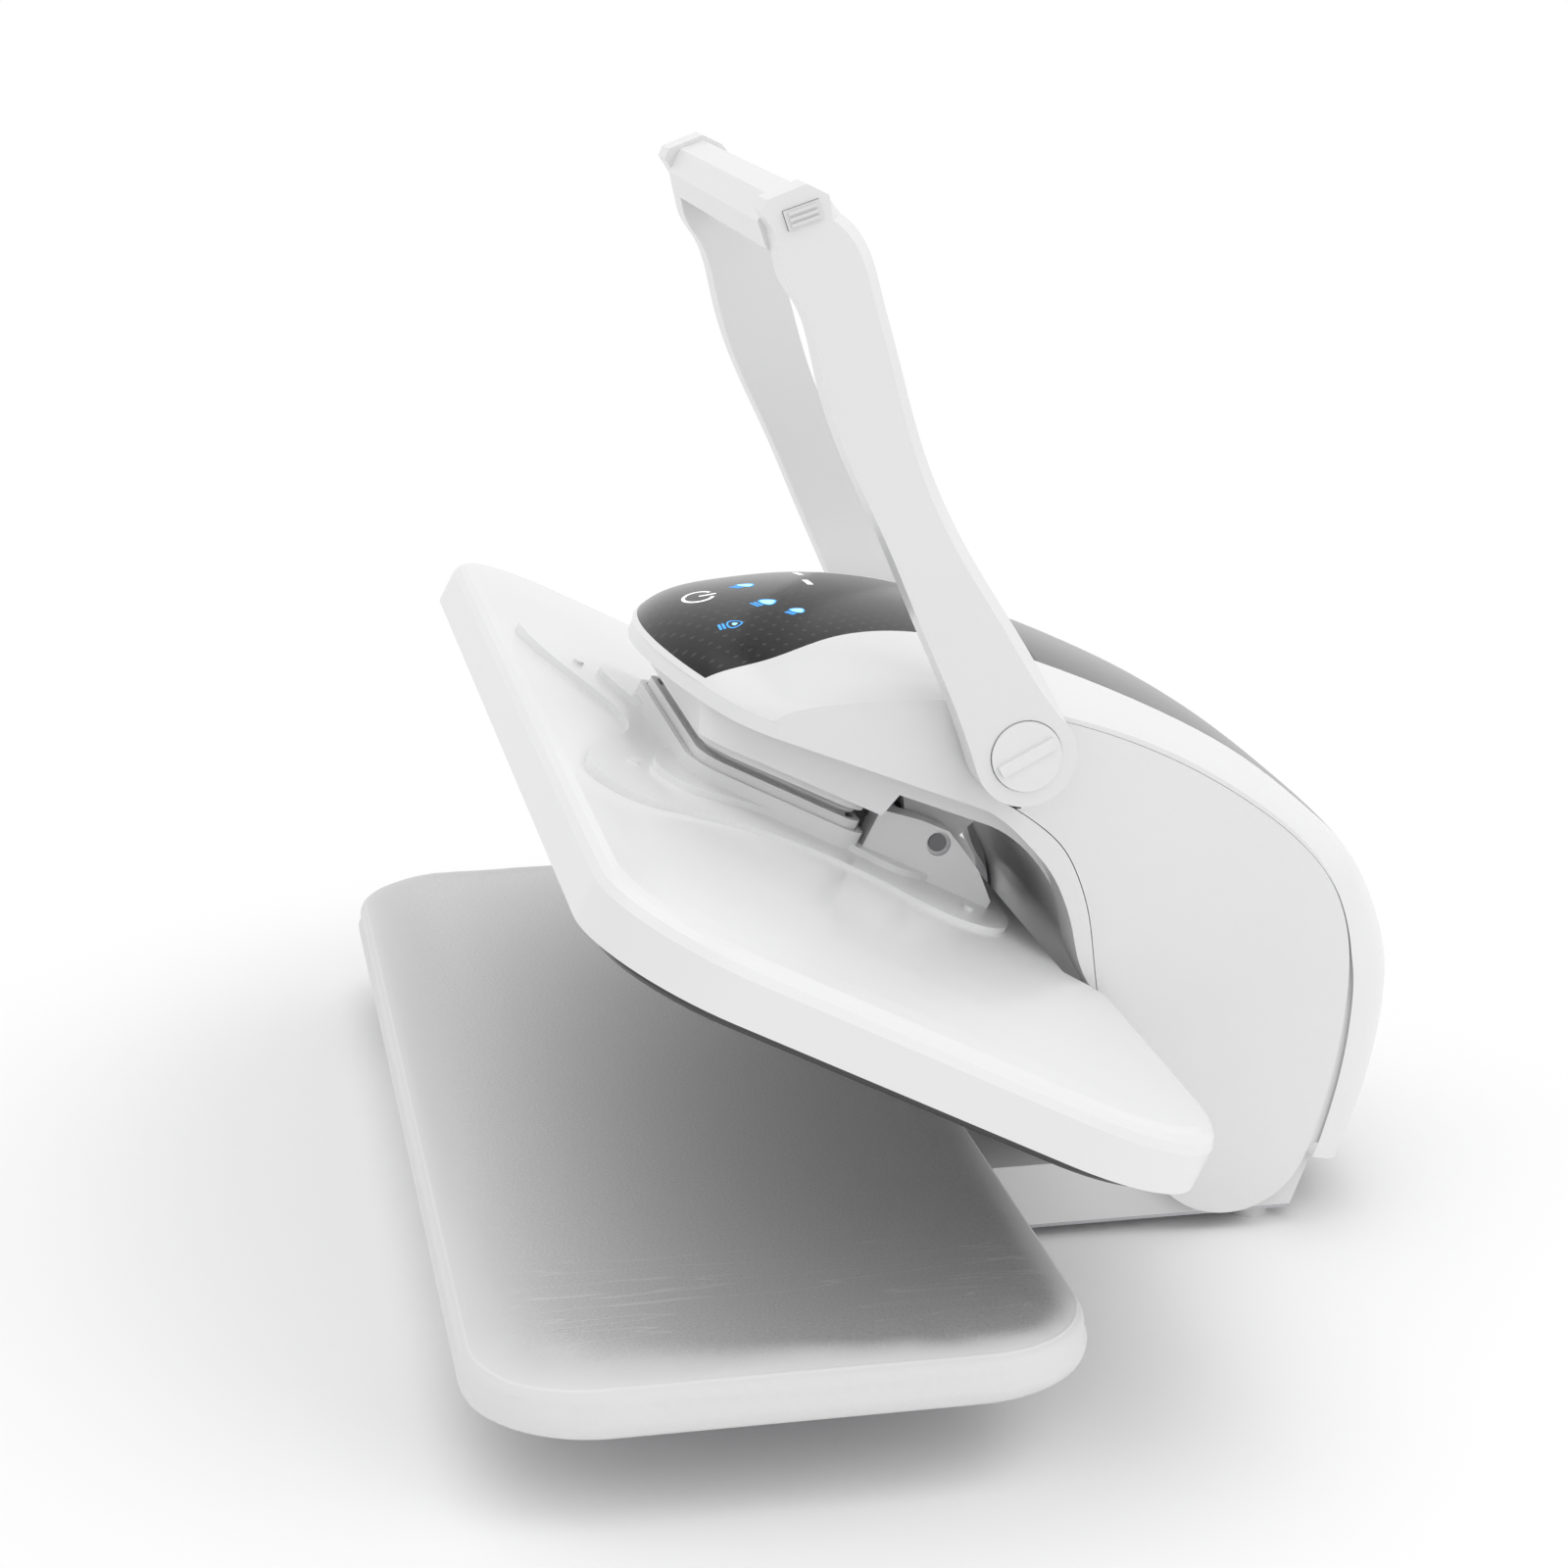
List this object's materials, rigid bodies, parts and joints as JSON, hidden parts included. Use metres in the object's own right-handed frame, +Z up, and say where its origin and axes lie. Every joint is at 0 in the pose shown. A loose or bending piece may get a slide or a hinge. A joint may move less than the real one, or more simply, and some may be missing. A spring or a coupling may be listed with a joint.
{
  "type": "steam ironing press",
  "caption": "Table-top steam ironing press with a padded board, a heated steam platen on a hinged arm and a swinging U-shaped handle.",
  "frame": {"origin": "on the table, under the middle of the whole press as it stands open", "axes": "+X along the ironing board to the right of the person ironing, -Y towards that person, +Z up"},
  "size_m": [0.648, 0.4526, 0.4696],
  "materials": {
    "white_housing": "white moulded plastic, satin gloss",
    "panel_grey": "pale grey moulded plastic, satin",
    "smoked_lens": "dark smoked plastic lens with fine dots and lit icons",
    "spine_grey": "dark grey glossy plastic strip",
    "silver_cloth": "metallised silver cloth, fading to white round the edge",
    "felt": "soft felt pad",
    "sheet_steel": "zinc-plated sheet steel",
    "sole_metal": "dark coated cast aluminium sole",
    "cast_aluminium": "as-cast aluminium",
    "element_steel": "tubular heater sheath",
    "pin_steel": "turned steel",
    "rubber": "white rubber",
    "dark_rubber": "black rubber",
    "clear_tank": "translucent moulded tank",
    "pump_black": "black moulded plastic",
    "circuit": "green circuit laminate",
    "silicone": "translucent silicone",
    "bush_brass": "sintered bronze",
    "thermostat_body": "phenolic thermostat body"
  },
  "bodies": {
    "base": {"base_housing": "white_housing", "base_rear_cover": "white_housing", "base_pan": "sheet_steel", "rubber_feet": "rubber", "board_plate": "sheet_steel", "board_pad": "felt", "board_cover": "silver_cloth", "hinge_bracket_left": "sheet_steel", "hinge_bracket_right": "sheet_steel", "hinge_bushes": "bush_brass", "lift_springs": "pin_steel", "cord_gland": "dark_rubber", "power_board": "circuit"},
    "arm": {"nose_housing": "white_housing", "control_panel": "smoked_lens", "top_shell": "white_housing", "spine_strip": "spine_grey", "side_panel_left": "panel_grey", "side_panel_right": "panel_grey", "lower_housing": "white_housing", "arm_frame_left": "sheet_steel", "arm_frame_right": "sheet_steel", "frame_tubes": "sheet_steel", "hinge_shaft": "pin_steel", "handle_pins": "pin_steel", "water_tank": "clear_tank", "water_pump": "pump_black", "pump_hose": "silicone", "control_board": "circuit", "platen_hanger": "sheet_steel", "skirt_upper": "white_housing"},
    "platen": {"platen_cover": "white_housing", "platen_island": "white_housing", "pivot_lugs": "white_housing", "suspension_pin": "pin_steel", "sole_plate": "sole_metal", "sole_gasket": "silicone", "heating_element": "element_steel", "steam_chamber": "cast_aluminium", "steam_inlet": "bush_brass", "thermostat": "thermostat_body", "skirt_lower": "panel_grey", "island_screws": "pin_steel"},
    "handle": {"handle_left": "white_housing", "handle_right": "white_housing", "grip": "white_housing", "pivot_cap_left": "white_housing", "pivot_cap_right": "white_housing"},
    "latch_left": {"latch_button_left": "panel_grey"},
    "latch_right": {"latch_button_right": "panel_grey"}
  },
  "joints": [
    {"name": "arm_hinge", "type": "hinge", "parent": "base", "child": "arm", "pos_m": [0, 0.12865, 0.028], "axis": [-1, 0, 0], "range_deg": [-25, 4]},
    {"name": "platen_float", "type": "hinge", "parent": "arm", "child": "platen", "pos_m": [0, 0.00894, 0.17612], "axis": [-1, 0, 0], "range_deg": [-2.35, 0.5]},
    {"name": "handle_pivot", "type": "hinge", "parent": "arm", "child": "handle", "pos_m": [0, 0.03049, 0.23213], "axis": [1, 0, 0], "range_deg": [-5, 48]},
    {"name": "latch_left_press", "type": "slide", "parent": "handle", "child": "latch_left", "axis": [1, 0, 0], "range_m": [0, 0.0022], "stiffness_N_per_m": 400, "springref_m": -0.001},
    {"name": "latch_right_press", "type": "slide", "parent": "handle", "child": "latch_right", "axis": [-1, 0, 0], "range_m": [0, 0.0022], "stiffness_N_per_m": 400, "springref_m": -0.001}
  ],
  "couplings": [
    {"joint": "platen_float", "follows": "arm_hinge", "ratio": 0.092}
  ]
}
